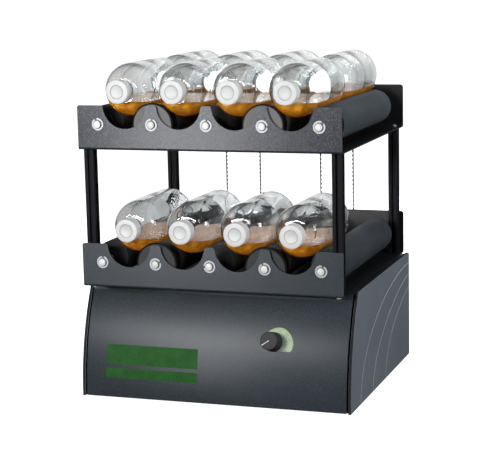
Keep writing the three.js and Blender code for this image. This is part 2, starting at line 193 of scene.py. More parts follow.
def rubber(name, dark, mid, light, spec=.35):
    m, nt, b = nodes_of(name)
    v = coords(nt, (1, .35, 1))
    a = noise(nt, v, 26, 4, .6, .3)
    f = noise(nt, coords(nt), 900, 3, .6)
    c = mix(nt, ramp(nt, a, [(.3, dark), (.72, light), (.5, mid)]), ramp(nt, f, [(.3, dark), (.7, light)]), .3)
    nt.links.new(c, b.inputs["Base Color"])
    nt.links.new(rough_range(nt, a, .62, .82), b.inputs["Roughness"])
    nt.links.new(bump(nt, f, .35, .0003), b.inputs["Normal"])
    b.inputs["Specular IOR Level"].default_value = spec
    return m
M["drum"] = rubber("drum_rubber", (.03, .038, .046), (.046, .056, .068), (.07, .084, .099), spec=.25)
# Painted shade: a darker copy of the same drum rubber for the lower deck, darkening those drums against the light
# they get.
M["drum_low"] = rubber("drum_rubber_lower_shaded_copy", (.018, .0225, .028), (.028, .034, .041), (.043, .051, .061), spec=.22)
M["drum_end"] = rubber("drum_end_rubber", (.006, .007, .008), (.01, .011, .012), (.018, .019, .02), spec=.15)
M["belt"] = rubber("belt_rubber", (.005, .005, .006), (.009, .009, .01), (.018, .018, .02), spec=.04)
M["foot"] = rubber("foot_rubber", (.01, .01, .01), (.016, .016, .017), (.026, .026, .028))

def metal(name, color, rough, scale=(1, 1, 1), grain=600, strength=.15, var=.12, metallic=1.0):
    m, nt, b = nodes_of(name)
    v = coords(nt, scale)
    n = noise(nt, v, grain, 3, .6)
    s = noise(nt, coords(nt), 30, 3, .5)
    lo = tuple(c * (1 - var) for c in color)
    hi = tuple(min(1, c * (1 + var)) for c in color)
    nt.links.new(mix(nt, ramp(nt, n, [(.3, lo), (.7, hi)]), ramp(nt, s, [(.3, lo), (.7, hi)]), .5), b.inputs["Base Color"])
    nt.links.new(rough_range(nt, n, rough * .75, rough * 1.3), b.inputs["Roughness"])
    b.inputs["Metallic"].default_value = metallic
    nt.links.new(bump(nt, n, strength, .0001), b.inputs["Normal"])
    return m
M["shaft"] = metal("shaft_steel", (.86, .85, .82), .26, (1, 1, 1), 900)
M["end_bright"] = metal("shaft_end_bright", (.42, .41, .385), .55, (1, 1, 1), 700, .3, .06, .3)
M["end_grey"] = metal("shaft_end_grey", (.36, .36, .33), .55, (1, 1, 1), 700, .4, .1, .3)
M["end_pale"] = metal("shaft_end_pale", (.4, .4, .41), .55, (1, 1, 1), 700, .3, .1, .3)
M["ring"] = metal("ring_steel", (.24, .255, .275), .5, (1, 1, 1), 700, .2, .08, .3)
M["alu"] = metal("pulley_alu", (.66, .67, .69), .34, (1, .15, 1), 800)
M["brass"] = metal("spacer_brass", (.86, .8, .66), .4, (1, 1, 1), 600, .15, .1, .45)
M["zinc"] = metal("screw_zinc", (.7, .7, .7), .28)
M["motor"] = metal("motor_cast", (.3, .31, .33), .5, (1, 1, 1), 300, .4)

def plastic(name, color, rough, grain=700, strength=.2, var=.15, spec=.5):
    m, nt, b = nodes_of(name)
    n = noise(nt, coords(nt), grain, 3, .55)
    s = noise(nt, coords(nt), 40, 3, .5)
    lo = tuple(c * (1 - var) for c in color)
    hi = tuple(min(1, c * (1 + var)) for c in color)
    nt.links.new(mix(nt, ramp(nt, n, [(.3, lo), (.7, hi)]), ramp(nt, s, [(.3, lo), (.7, hi)]), .5), b.inputs["Base Color"])
    nt.links.new(rough_range(nt, n, rough * .85, rough * 1.2), b.inputs["Roughness"])
    nt.links.new(bump(nt, n, strength, .0001), b.inputs["Normal"])
    b.inputs["Specular IOR Level"].default_value = spec
    return m
M["knob"] = plastic("knob_plastic", (.03, .029, .032), .6, 700, .2, .15, .12)
M["entry"] = plastic("entry_plastic", (.012, .012, .012), .3)
M["bush"] = plastic("bush_bearing", (.035, .037, .04), .5)
M["disc_upper"] = plastic("disc_grey", (.125, .125, .127), .55, 300, .15, .08, .2)
# Painted shade: the lower deck's stop discs are the same part as the upper ones, given a far darker grey for the
# shade under the upper deck.
M["disc_lower"] = plastic("disc_dark", (.012, .0115, .015), .6, 300, .15, .08, .2)
M["cap"] = plastic("cap_white", (.67, .675, .675), .5, 500, .1, .02, .3)
# Painted shade: a grey for the recessed ring groove on the cap face, darker than the cap's white.
M["cap_groove_shade"] = plastic("cap_groove_shade", (.47, .47, .47), .6, 500, .1, .04, .1)
M["white_mark"] = plastic("mark_white", (.8, .8, .8), .5, 900, .1, .04)
M["stripe"] = plastic("mark_grey", (.58, .62, .66), .55, 900, .1, .06)
M["green"] = plastic("mark_green", (.012, .088, .012), .6, 300, .15, .35, .06)
M["green_edge"] = plastic("mark_green_edge", (.16, .3, .06), .5, 500, .15, .1)
M["pale_green"] = plastic("mark_pale_green", (.26, .34, .21), .55, 300, .4, .5)
# Painted shade: a near-black copy of the side paint for the side panels' edge faces, so they read dark.
M["side_edge_painted_shade"] = textured_paint("side_edge_painted_shade", (.016, .017, .019), (.026, .027, .03), (.04, .042, .046), grain=1300, speck=700, rough=(.75, .9), strength=.25, spec=0)
# Painted shade: matte near-black filler for the groove between the front cover and the side panels.
M["gap_black"] = plastic("gap_black", (.004, .004, .004), .95, 300, .1, .2, 0)

def glass_material():
    m, nt, b = nodes_of("bottle_glass")
    v = coords(nt)
    n = noise(nt, v, 14, 2, .5, .2)
    f = noise(nt, v, 260, 2, .5)
    nt.links.new(ramp(nt, f, [(.3, (.9, .925, .93)), (.7, (.94, .955, .96))]), b.inputs["Base Color"])
    nt.links.new(bump(nt, n, .07, .003), b.inputs["Normal"])
    b.inputs["Roughness"].default_value = 0.0
    b.inputs["IOR"].default_value = 1.48
    b.inputs["Transmission Weight"].default_value = 1.0
    return m
M["glass"] = glass_material()

def liquid_material():
    m, nt, b = nodes_of("amber_liquid_painted_glow")
    v = coords(nt)
    n = noise(nt, v, 24, 2, .5, .6)
    nt.links.new(ramp(nt, n, [(.32, (.34, .12, .008)), (.66, (.88, .45, .04))]), b.inputs["Base Color"])
    nt.links.new(bump(nt, n, .3, .004), b.inputs["Normal"])
    b.inputs["Roughness"].default_value = 0.0
    b.inputs["IOR"].default_value = 1.33
    b.inputs["Transmission Weight"].default_value = .72
    # Painted light: a faint amber glow stands in for light shining through the liquid.
    b.inputs["Emission Color"].default_value = (.85, .33, .02, 1)
    b.inputs["Emission Strength"].default_value = .06
    return m
def liquid_top_material():
    m, nt, b = nodes_of("amber_surface")
    n = noise(nt, coords(nt), 60, 2, .5, .4)
    nt.links.new(ramp(nt, n, [(.3, (.7, .36, .06)), (.7, (.88, .52, .12))]), b.inputs["Base Color"])
    nt.links.new(bump(nt, n, .1, .001), b.inputs["Normal"])
    b.inputs["Roughness"].default_value = 0.0
    b.inputs["IOR"].default_value = 1.22
    b.inputs["Transmission Weight"].default_value = .92
    return m
M["liquid_top"] = liquid_top_material()
M["liquid"] = liquid_material()

# --------------------------------------------------------------- mesh tools
def pt(x, y, z):
    return Vector((x * MM, (y + YS) * MM, z * MM))

def make(name, verts, faces, mat, body, sharp=32, shift=True, loc=None):
    """verts in millimetres, plate frame."""
    me = bpy.data.meshes.new(name)
    me.from_pydata([tuple(pt(*v)) if shift else tuple(Vector(v) * MM) for v in verts], [], faces)
    return finish_mesh(name, me, mat, body, sharp, loc)

def finish_mesh(name, me, mat, body, sharp=32, loc=None):
    bm = bmesh.new()
    bm.from_mesh(me)
    bmesh.ops.remove_doubles(bm, verts=bm.verts, dist=1e-6)
    bmesh.ops.dissolve_degenerate(bm, edges=bm.edges, dist=1e-7)
    bmesh.ops.recalc_face_normals(bm, faces=bm.faces)
    bm.to_mesh(me)
    bm.free()
    for p in me.polygons:
        p.use_smooth = True
    me.set_sharp_from_angle(angle=math.radians(sharp))
    mats = mat if isinstance(mat, (list, tuple)) else [mat]
    if len(me.materials) == 0:
        for k in mats:
            me.materials.append(M[k])
    o = bpy.data.objects.new(name, me)
    scene.collection.objects.link(o)
    if loc is not None:
        o.matrix_world = loc
    if body:
        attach(o, body)
    return o

def again(name, src, matrix, body):
    """Another copy of a mesh, placed by matrix."""
    o = bpy.data.objects.new(name, src.data)
    scene.collection.objects.link(o)
    o.matrix_world = matrix
    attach(o, body)
    return o

def revolve(profile, seg, closed=False, rfun=None):
    """Turned about Y through the origin. profile [(r, y)] in mm; returns verts, faces."""
    verts, faces = [], []
    n = len(profile)
    for s in range(seg):
        t = 2 * math.pi * s / seg
        for i, (r, y) in enumerate(profile):
            rr = rfun(i, r, t) if rfun else r
            verts.append((rr * math.cos(t), y, rr * math.sin(t)))
    m = n if closed else n - 1
    for s in range(seg):
        s2 = (s + 1) % seg
        for i in range(m):
            j = (i + 1) % n
            faces.append((s * n + i, s * n + j, s2 * n + j, s2 * n + i))
    return verts, faces

def lathe(name, profile, seg, x, z, mat, body, closed=False, sharp=32, rfun=None):
    v, f = revolve(profile, seg, closed, rfun)
    return make(name, [(a + x, b, c + z) for a, b, c in v], f, mat, body, sharp)

def arc(a, b, r, t0, t1, n):
    return [(a + r * math.cos(math.radians(t0 + (t1 - t0) * i / n)), b + r * math.sin(math.radians(t0 + (t1 - t0) * i / n))) for i in range(n + 1)]

def round_poly(pts, r, n=5):
    """Rounds each corner of a closed outline; r is one radius or a list."""
    out = []
    k = len(pts)
    for i in range(k):
        a, b, c = Vector(pts[i - 1]), Vector(pts[i]), Vector(pts[(i + 1) % k])
        ri = r[i] if isinstance(r, (list, tuple)) else r
        u, w = (a - b), (c - b)
        ang = u.angle(w) if u.length and w.length else math.pi
        if ri <= 0 or ang > math.pi - .02:
            out.append(tuple(b)); continue
        d = min(ri / math.tan(ang / 2), u.length * .49, w.length * .49)
        p0, p1 = b + u.normalized() * d, b + w.normalized() * d
        for j in range(n + 1):
            t = j / n
            q = (1 - t) ** 2 * p0 + 2 * t * (1 - t) * b + t * t * p1
            out.append(tuple(q))
    return out

def prism(name, outer, holes, plane, a, b, bevel, mat, body, res=2, sharp=32):
    """Bevelled plate. plane xz runs along y, yz along x, xy along z. mm, plate frame."""
    cu = bpy.data.curves.new(name + "_c", 'CURVE')
    cu.dimensions = '2D'
    cu.fill_mode = 'BOTH'
    cu.extrude = max((b - a) / 2 - bevel, .001) * MM
    cu.bevel_depth = bevel * MM
    cu.bevel_resolution = res
    cu.offset = -bevel * MM
    for loop in [outer] + list(holes):
        sp = cu.splines.new('POLY')
        sp.points.add(len(loop) - 1)
        for q, (u, v) in zip(sp.points, loop):
            q.co = (u * MM, v * MM, 0, 1)
        sp.use_cyclic_u = True
    ob = bpy.data.objects.new(name + "_c", cu)
    scene.collection.objects.link(ob)
    dg = bpy.context.evaluated_depsgraph_get()
    me = bpy.data.meshes.new_from_object(ob.evaluated_get(dg))
    bpy.data.objects.remove(ob)
    bpy.data.curves.remove(cu)
    me.materials.clear()
    mid = (a + b) / 2 * MM
    for v in me.vertices:
        u, w, d = v.co
        if plane == 'xz':
            v.co = (u, mid + YS * MM - d, w)
        elif plane == 'yz':
            v.co = (mid + d, u + YS * MM, w)
        else:
            v.co = (u, w + YS * MM, mid + d)
    o = finish_mesh(name, me, mat, body, sharp)
    ax = {'xz': 1, 'yz': 0, 'xy': 2}[plane]
    for p in o.data.polygons:
        if abs(p.normal[ax]) > .99999:
            p.use_smooth = False
    return o

def tube(name, pts, radius, mat, body, seg=10, closed=False):
    """Round wire through points (mm, plate frame)."""
    P3 = [Vector(p) for p in pts]
    n = len(P3)
    verts, faces = [], []
    ref = Vector((0, 0, 1))
    for i in range(n):
        t = (P3[(i + 1) % n] - P3[i - 1]) if closed else (P3[min(i + 1, n - 1)] - P3[max(i - 1, 0)])
        t.normalize()
        s = t.cross(ref)
        if s.length < 1e-3:
            s = t.cross(Vector((1, 0, 0)))
        s.normalize()
        u = s.cross(t)
        for k in range(seg):
            q = 2 * math.pi * k / seg
            verts.append(tuple(P3[i] + s * radius * math.cos(q) + u * radius * math.sin(q)))
    m = n if closed else n - 1
    for i in range(m):
        j = (i + 1) % n
        for k in range(seg):
            k2 = (k + 1) % seg
            faces.append((i * seg + k, i * seg + k2, j * seg + k2, j * seg + k))
    if not closed:
        faces.append(tuple(range(seg)))
        faces.append(tuple((n - 1) * seg + k for k in range(seg)))
    return make(name, verts, faces, mat, body)

def ribbon(name, line, width, depth, place, mat, body):
    """Thin printed line: line is 2D points, place maps (u, v, lift) to plate frame mm."""
    L = [Vector(p) for p in line]
    verts, faces = [], []
    n = len(L)
    for i in range(n):
        t = (L[min(i + 1, n - 1)] - L[max(i - 1, 0)]).normalized()
        s = Vector((-t.y, t.x))
        for side in (-1, 1):
            q = L[i] + s * side * width / 2
            verts.append(place(q.x, q.y, depth))
        for side in (-1, 1):
            q = L[i] + s * side * width / 2
            verts.append(place(q.x, q.y, 0.01))
    for i in range(n - 1):
        a, b = 4 * i, 4 * (i + 1)
        faces += [(a, a + 1, b + 1, b), (a + 2, b + 2, b + 3, a + 3), (a, b, b + 2, a + 2), (a + 1, a + 3, b + 3, b + 1)]
    faces += [(0, 2, 3, 1), (4 * n - 4, 4 * n - 3, 4 * n - 1, 4 * n - 2)]
    return make(name, verts, faces, mat, body)

def smooth_line(pts, n):
    """Catmull-Rom through 2D points."""
    out = []
    k = len(pts)
    for i in range(k - 1):
        p = [Vector(pts[max(i - 1, 0)]), Vector(pts[i]), Vector(pts[i + 1]), Vector(pts[min(i + 2, k - 1)])]
        for j in range(n):
            t = j / n
            q = .5 * ((2 * p[1]) + (p[2] - p[0]) * t + (2 * p[0] - 5 * p[1] + 4 * p[2] - p[3]) * t * t + (3 * p[1] - p[0] - 3 * p[2] + p[3]) * t ** 3)
            out.append((q.x, q.y))
    out.append(tuple(pts[-1]))
    return out

def cut_by(obj, cutters):
    """Boolean difference, applied."""
    for c in cutters:
        md = obj.modifiers.new("cut", 'BOOLEAN')
        md.operation = 'DIFFERENCE'
        md.solver = 'EXACT'
        md.object = c
    dg = bpy.context.evaluated_depsgraph_get()
    me = bpy.data.meshes.new_from_object(obj.evaluated_get(dg))
    obj.modifiers.clear()
    old = obj.data
    obj.data = me
    bpy.data.meshes.remove(old)
    for c in cutters:
        bpy.data.objects.remove(c)
    return obj

def bevel_edges(obj, width, seg=2, angle=35):
    md = obj.modifiers.new("edge", 'BEVEL')
    md.width = width * MM
    md.segments = seg
    md.limit_method = 'ANGLE'
    md.angle_limit = math.radians(angle)
    md.use_clamp_overlap = True
    dg = bpy.context.evaluated_depsgraph_get()
    me = bpy.data.meshes.new_from_object(obj.evaluated_get(dg))
    obj.modifiers.clear()
    old = obj.data
    obj.data = me
    bpy.data.meshes.remove(old)
    for p in me.polygons:
        p.use_smooth = True
    me.set_sharp_from_angle(angle=math.radians(30))
    return obj

# --------------------------------------------------------------------- trays
def make_tray(deck, axle, paint):
    name = deck + "_tray_shell"
    b, o, i = axle - TRAY_BELOW, 5.0, 2.0
    prof = [(0, axle + FRONT_ABOVE)] + arc(o, b + o, o, 180, 270, 8) + arc(DEPTH - o, b + o, o, 270, 360, 8) + \
        [(DEPTH, axle + REAR_ABOVE), (DEPTH - 3, axle + REAR_ABOVE)] + arc(DEPTH - o, b + o, i, 360, 270, 6) + arc(o, b + o, i, 270, 180, 6) + [(3, axle + FRONT_ABOVE)]
    verts = [(x, y, z) for x in (-TRAY_W, TRAY_W) for y, z in prof]
    n = len(prof)
    faces = [tuple(range(n)), tuple(range(2 * n - 1, n - 1, -1))] + [(k, (k + 1) % n, n + (k + 1) % n, n + k) for k in range(n)]
    me_o = make(name, verts, faces, "black_paint", None)
    cutters = []
    top, R, f = axle + FRONT_ABOVE, 50.2, 4.5
    def cutter(outline, y0, y1):
        m = len(outline)
        vs = [(u, y, w) for y in (y0, y1) for u, w in outline]
        fs = [tuple(range(m)), tuple(range(2 * m - 1, m - 1, -1))] + [(k, (k + 1) % m, m + (k + 1) % m, m + k) for k in range(m)]
        c = make("cutter", vs, fs, "black_paint", None)
        cutters.append(c)
    for x in TX:
        a = math.degrees(math.asin(f / R))
        cutter([(x - R - f, top + 20)] + arc(x - R - f, top - f, f, 90, 6, 6) + arc(x, top, R, 180 + a, 360 - a, 44) + arc(x + R + f, top - f, f, 174, 90, 6) + [(x + R + f, top + 20)], -5, 12)
    for x in AX:
        cutter(arc(x, axle, 9.6, 0, 348.75, 31), -5, DEPTH + 5)
    for s in (-1, 1):
        for y0, y1, z, r in ((-5, 12, top, 5), (DEPTH - 12, DEPTH + 5, axle + REAR_ABOVE, 7)):
            x = s * TRAY_W
            cutter(arc(x - s * r, z - r, r, 0 if s > 0 else 180, 90, 8) + [(x - s * r, z + 5), (x + s * 5, z + 5), (x + s * 5, z - r)], y0, y1)
            # lower corners of the flanges, where the bend starts
    tray = cut_by(me_o, cutters)
    bm = bmesh.new(); bm.from_mesh(tray.data)
    bmesh.ops.remove_doubles(bm, verts=bm.verts, dist=2e-6)
    bm.to_mesh(tray.data); bm.free()
    bevel_edges(tray, .55, 2)
    me = tray.data
    me.materials.clear()
    me.materials.append(M[paint]); me.materials.append(M["black_paint"])
    for p in me.polygons:
        c, n = p.center, p.normal
        y = c.y / MM - YS
        z = c.z / MM
        front = y < 1.6 or (z < b + 1 and y < 30) or (abs(n.x) > .3 and z < b + 3.2)
        p.material_index = 0 if front else 1
        p.use_smooth = max(abs(n.x), abs(n.y), abs(n.z)) < .99999
    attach(tray, "frame")
    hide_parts(deck + "_tray")
    return tray

# each tray takes its deck's copy of the paint: painted highlight on the upper, painted shade on the lower
trays = {"upper": make_tray("upper", UP, "upper_paint"), "lower": make_tray("lower", LO, "lower_paint")}

# --------------------------------------------------------------------- base
Z0, BASE_H, FRONT_ARC = 3.0, 250.6, 480.0
COVER_TOP = LO - TRAY_BELOW - 3.6
def front_y(h):
    return FRONT_ARC - math.sqrt(FRONT_ARC ** 2 - h * h)

def side_outline(d, n=40, bot=None):
    bot = d if bot is None else bot
    top = BASE_H - d
    r = max(11 - d, 2)
    h_end = top - r
    pts = []
    for i in range(n + 1):
        h = bot + (h_end - bot) * i / n
        pts.append((front_y(h) + d / math.cos(math.asin(h / FRONT_ARC)), Z0 + h))
    slope = math.degrees(math.asin(h_end / FRONT_ARC))
    ya = pts[-1][0]
    pts += arc(ya + r * math.cos(math.radians(slope)), Z0 + h_end, r, 180 - slope, 90, 10)[1:]
    rr = max(9 - d, 2)
    pts += arc(DEPTH - d - rr, Z0 + top - rr, rr, 90, 0, 8)
    pts += arc(DEPTH - d - 3, Z0 + bot + 3, 3, 0, -90, 4)
    return pts

SIDE_X = 309.26
for s, side in ((-1, "left"), (1, "right")):
    a, b_ = (SIDE_X - 7, SIDE_X) if s > 0 else (-SIDE_X, -SIDE_X + 7)
    panel = prism(f"side_{side}_shell", side_outline(0), [], 'yz', a, b_, 1.6, "side_paint", "frame", res=4)
    # the panel's edge faces take the dark copy (painted shade)
    panel.data.materials.append(M["side_edge_painted_shade"])
    for p in panel.data.polygons:
        if abs(p.normal.x) < .6:
            p.material_index = 1
    # a near-black filler sheet in the groove between cover and side panel, standing in for the shade there (painted
    # shade)
    a, b_ = (293, SIDE_X - 6.5) if s > 0 else (-SIDE_X + 6.5, -293)
    lip = prism(f"side_{side}_lip", side_outline(7, 40, 1.2), [], 'yz', a, b_, .4, "gap_black", "frame")
    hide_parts(f"side_panel_{side}")

def cover_line(d, n=48):
    h0, top, r = 1.5, COVER_TOP - d, 13 - d
    h_end = top - Z0 - r
    pts = []
    for i in range(n + 1):
        h = h0 + (h_end - h0) * i / n
        pts.append((front_y(h) + (.6 + d) / math.cos(math.asin(h / FRONT_ARC)), Z0 + h))
    slope = math.degrees(math.asin(h_end / FRONT_ARC))
    ya = pts[-1][0]
    pts += arc(ya + r * math.cos(math.radians(slope)), Z0 + h_end, r, 180 - slope, 90, 10)[1:]
    pts.append((DEPTH - 3.4, top))
    return pts
cover = prism("cover_shell", cover_line(0) + cover_line(2)[::-1], [], 'yz', -298.6, 298.6, .5, "base_paint", "frame")
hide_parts("base_cover")
for x in (-276, 276):
    for y in (84, 500):
        for k, (yy, r) in enumerate(((y, 9.2),)):
            v, f = revolve([(0, 0), (r - .6, 0), (r, .5), (r, 2.8), (r - .6, 3.3), (0, 3.3)], 32)
            sp = make(f"spacer_{'l' if x < 0 else 'r'}{'f' if y < 200 else 'r'}", [(a + x, -c + yy, b + COVER_TOP) for a, b, c in v], f, "brass", "frame")

# Printed pinstripes on the side panels.
K = P / 117.5
ARCS = [
    [(511, -75), (470, -76.5), (424, -80), (376, -87), (330, -97), (273, -112), (226, -130), (186, -149), (154, -168), (130, -187), (110, -207), (96, -225), (86, -243), (79, -263), (75, -284)],
    [(512, -100), (466, -107), (423, -117), (378, -131), (335, -147), (293, -166), (257, -187), (226, -209), (204, -229), (190, -248), (182, -268), (178, -284)],
    [(513, -130), (467, -141), (422, -157), (380, -177), (346, -198), (321, -220), (304, -242), (292, -264), (285, -284)]]
for s, side in ((-1, "left"), (1, "right")):
    for k, a in enumerate(ARCS):
        line = smooth_line([(y * K, z * K + LO) for y, z in a], 6)
        rb = ribbon(f"pinstripe_{side}_{k + 1}", line, 1.25, .12, lambda u, v, d, s=s: (s * (SIDE_X + d), u, v), "stripe", "frame")

# Bottom plate and rear panel.
for n in ("bottom_plate", "rear_panel", "gearmotor", "speed_pot"):
    o = frame["nodes"][n]
    o.data.materials.clear()
    o.data.materials.append(M["motor" if n == "gearmotor" else "zinc" if n == "speed_pot" else "black_paint"])

# --------------------------------------------------------------------- posts
for n in ("post_front_left", "post_front_right", "post_rear_left", "post_rear_right"):
    lo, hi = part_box(n)
    cx, cy = (lo.x + hi.x) / 2 / MM, (lo.y + hi.y) / 2 / MM - YS
    z0, z1 = lo.z / MM, hi.z / MM
    h, w, d, lip, wide = 11.0, 3.0, 5.5, 1.8, 5.2
    quarter = [(-h, -h), (-w, -h), (-w, -h + lip), (-wide, -h + lip + .2), (-wide + 1.6, -h + d), (wide - 1.6, -h + d), (wide, -h + lip + .2), (w, -h + lip), (w, -h)]
    sec = []
    for k in range(4):
        c, s_ = math.cos(k * math.pi / 2), math.sin(k * math.pi / 2)
        sec += [(x * c - y * s_, x * s_ + y * c) for x, y in quarter]
    sec = [(x + cx, y + cy) for x, y in sec]
    po = prism(n + "_extrusion", round_poly(sec, .5, 2), [], 'xy', z0, z1, .25, "post_black", "frame")
    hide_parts(n)

# Flanged bolt heads that hold the posts: under the lower tray, on the floors of both.
def bolt(name, x, y, z, down, big):
    k = -1 if down else 1
    R, H = (9.2, 6.6) if big else (6.2, 4.4)
    prof = [(0, 0), (R - .4, 0), (R, .4), (R, 1.3), (R - .5, 1.8), (R * .68, 2.2)]
    v, f = revolve(prof + [(R * .62, H - 1), (R * .5, H - .25), (R * .34, H), (0, H)], 40)
    o = make(name, [(a + x, (-c if k > 0 else c) + y, k * b + z) for a, b, c in v], f, "brass" if big else "zinc", "frame", 30)
for sx, sn in ((-1, "left"), (1, "right")):
    bolt(f"post_bolt_front_{sn}", sx * 279, 25, LO - TRAY_BELOW, True, True)
    bolt(f"post_bolt_upper_front_{sn}", sx * 279.7, 26, UP - TRAY_BELOW + 3, False, False)
    bolt(f"post_bolt_upper_rear_{sn}", sx * 280.5, 522, UP - TRAY_BELOW + 3, False, False)

# ------------------------------------------------------ rollers and shafts
def rub_profile(y0, y1, r, e=1.2):
    return [(15, y0), (r - 5, y0), (r - 5, y0 + 1.6), (r - 4.2, y0 + 1.6), (r - 4.2, y0)] + \
        [(r - e + e * math.sin(math.radians(t)), y0 + e - e * math.cos(math.radians(t))) for t in (0, 30, 60, 90)] + \
        [(r, y0 + 60), (r, y1 - 60)] + \
        [(r - e + e * math.cos(math.radians(t)), y1 - e + e * math.sin(math.radians(t))) for t in (0, 30, 60, 90)] + [(15, y1)]

random.seed(7)
ring_angle = {"upper": [112, 78, 80, -2, 50], "lower": [86, 25, 184, 113, 70]}
end_mat = {"upper": ["end_bright", "end_grey", "end_bright", "end_pale", "end_bright"], "lower": ["end_pale", "end_grey", "end_bright", "end_bright", "end_bright"]}
for deck, axle in (("lower", LO), ("upper", UP)):
    for r in range(5):
        x = AX[r]
        driven = r in (1, 3)
        body = f"{deck}_roller_body_{r + 1}"
        # the lower deck's drums take the darker copy of the rubber (painted shade)
        drum = lathe(f"{deck}_drum_{r + 1}", [(8.24, 47), (14.2, 47), (15, 47.8), (15, 53)] + rub_profile(53, 465, DR) + [(15, 470.2), (14.2, 471), (8.24, 471)], 64, x, axle, "drum" if deck == "upper" else "drum_low", body, closed=True)
        drum.data.materials.append(M["drum_end"])
        for p in drum.data.polygons:
            c = p.center
            rr = math.hypot(c.x / MM - x, c.z / MM - axle)
            if rr < DR - .3 or not 54.5 < c.y / MM - YS < 463.5:
                p.material_index = 1
        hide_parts(f"{deck}_roller_{r + 1}")
        if driven:
            # the lower deck's discs take the darker copy (painted shade)
            disc = lathe(f"{deck}_stop_disc_{r + 1}", [(8.24, 5), (14, 5), (14, 5.5), (16, 5.5), (42.4, 5.5), (43, 6), (43, 11), (14.5, 11), (14.5, 52.9), (8.24, 52.9)], 72, x, axle, "disc_" + deck, body, closed=True)
            rim = lathe(f"{deck}_disc_rim_{r + 1}", [(43.05, 6), (43.4, 5.3), (45.3, 5), (46, 5.7), (46, 10.8), (45.3, 11.5), (43.4, 11.3), (43.05, 10.8)], 72, x, axle, "belt", body, closed=True)
        rear = 601 if r == 1 else 582 if r == 3 else 551
        sh = lathe(f"{deck}_axle_{r + 1}", [(0, -5.8), (1.2, -6), (5.2, -6), (5.5, -5.85), (5.8, -6), (6.9, -6), (7.5, -5.8), (7.94, -5.2), (7.94, 120), (7.94, 300), (7.94, rear - .8), (7.2, rear), (0, rear)], 48, x, axle, "shaft", body)
        sh.data.materials.append(M[end_mat[deck][r]])
        for p in sh.data.polygons:
            if p.center.y / MM - YS < -5.5:
                p.material_index = 1
        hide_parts(f"{deck}_shaft_{r + 1}")
        # retaining rings: open spring clips
        for end, y0, y1 in (("front", -2.2, -.9), ("rear", DEPTH + .9, DEPTH + 2.2)):
            ang = ring_angle[deck][r] + (0 if end == "front" else 35)
            gap = 11
            a0, a1 = ang + gap, ang + 360 - gap
            outer = [(x + q[0], axle + q[1]) for q in arc(0, 0, 13.5, a0, a1, 52)]
            inner = [(x + q[0], axle + q[1]) for q in arc(0, 0, 9.7, a1, a0, 52)]
            rg = prism(f"{deck}_clip_{end}_{r + 1}", outer + inner, [], 'xz', y0, y1, .3, "ring", body, res=2)
        # flanged bushes pressed into the flanges
        for end, ys in (("front", (-.75, 0, 6.5)), ("rear", (DEPTH + .75, DEPTH, DEPTH - 6.5))):
            sgn = 1 if end == "front" else -1
            prof = [(8.1, ys[0]), (11.6, ys[0]), (11.9, ys[0] + .2 * sgn), (11.9, ys[1]), (9.5, ys[1]), (9.5, ys[2]), (8.1, ys[2])]
            bu = lathe(f"{deck}_bush_{end}_{r + 1}", prof, 40, x, axle, "bush", "frame", closed=True)

# ------------------------------------------------------------------ bottles
GLASS_OUT = [(19.2, 4), (20.2, 4.6), (20.2, 27.5), (22.6, 28.6), (23.4, 30), (22.6, 31.6), (21.2, 33), (21.0, 36), (22.2, 38.4)]
for i in range(1, 15):
    t = math.radians(90 * i / 14)
    GLASS_OUT.append((22.2 + 34.8 * math.sin(t), 82 - 43.6 * math.cos(t)))
GLASS_OUT += [(BR - (.0 if i % 2 else .25), 92 + i * 2.9) for i in range(17)]
GLASS_OUT += [(BR, 145), (BR, 200), (BR, BL - 10)] + [(47 + 10 * math.cos(math.radians(q)), BL - 10 + 10 * math.sin(math.radians(q))) for q in (15, 30, 45, 60, 75, 90)] + \
    [(44, BL - .6), (40, BL - 2.5), (26, BL - 3.8), (0, BL - 4.2)]
GLASS_IN = [(0, BL - 6.6), (26, BL - 6.2), (40, BL - 4.6), (47, BL - 4.2)] + [(47 + 7.5 * math.cos(math.radians(q)), BL - 11.6 + 8.2 * math.sin(math.radians(q))) for q in (70, 50, 30, 10)] + [(54.5, BL - 14), (54.5, 200), (54.5, 120)]
for i in range(14, 0, -1):
    t = math.radians(90 * i / 14)
    GLASS_IN.append((20.4 + 34.1 * math.sin(t), 83 - 43 * math.cos(t)))
GLASS_IN += [(18.4, 39), (17.6, 33), (17.4, 27), (17.4, 5), (17.8, 4)]
gv, gf = revolve(GLASS_OUT + GLASS_IN, 72, closed=True)
def liquid_mesh():
    prof = [(min(r + .12, 54.62) if r > 0 else 0, y) for r, y in GLASS_IN if y > 45] + [(17.2, 42.6), (0, 42.6)]
    v, f = revolve(prof, 72)
    me = bpy.data.meshes.new("liquid")
    me.from_pydata([tuple(Vector(q) * MM) for q in v], [], f)
    bm = bmesh.new(); bm.from_mesh(me)
    bmesh.ops.remove_doubles(bm, verts=bm.verts, dist=1e-6)
    res = bmesh.ops.bisect_plane(bm, geom=bm.verts[:] + bm.edges[:] + bm.faces[:], plane_co=(0, 0, -.0242), plane_no=(0, 0, 1), clear_outer=True)
    edges = [e for e in res["geom_cut"] if isinstance(e, bmesh.types.BMEdge)]
    bmesh.ops.holes_fill(bm, edges=edges, sides=0)
    bmesh.ops.recalc_face_normals(bm, faces=bm.faces)
    bm.to_mesh(me); bm.free()
    return me

CAP = [(0, 1.2), (13.5, 1.2), (13.9, .9), (14.5, .9), (14.7, 1.2), (15.2, .2), (23.4, 0), (24.8, .5), (25.4, 1.6), (25.4, 3), (25.4, 23.6), (25.6, 23.8), (25.6, 25.6), (25.2, 26), (20.6, 26), (20.6, 2.5), (0, 2.5)]
def cap_r(i, r, t):
    if 9 <= i <= 10:
        return r - .55 * (.5 + .5 * math.cos(60 * t)) ** .5
    return r
cv, cf = revolve(CAP, 240, rfun=cap_r)

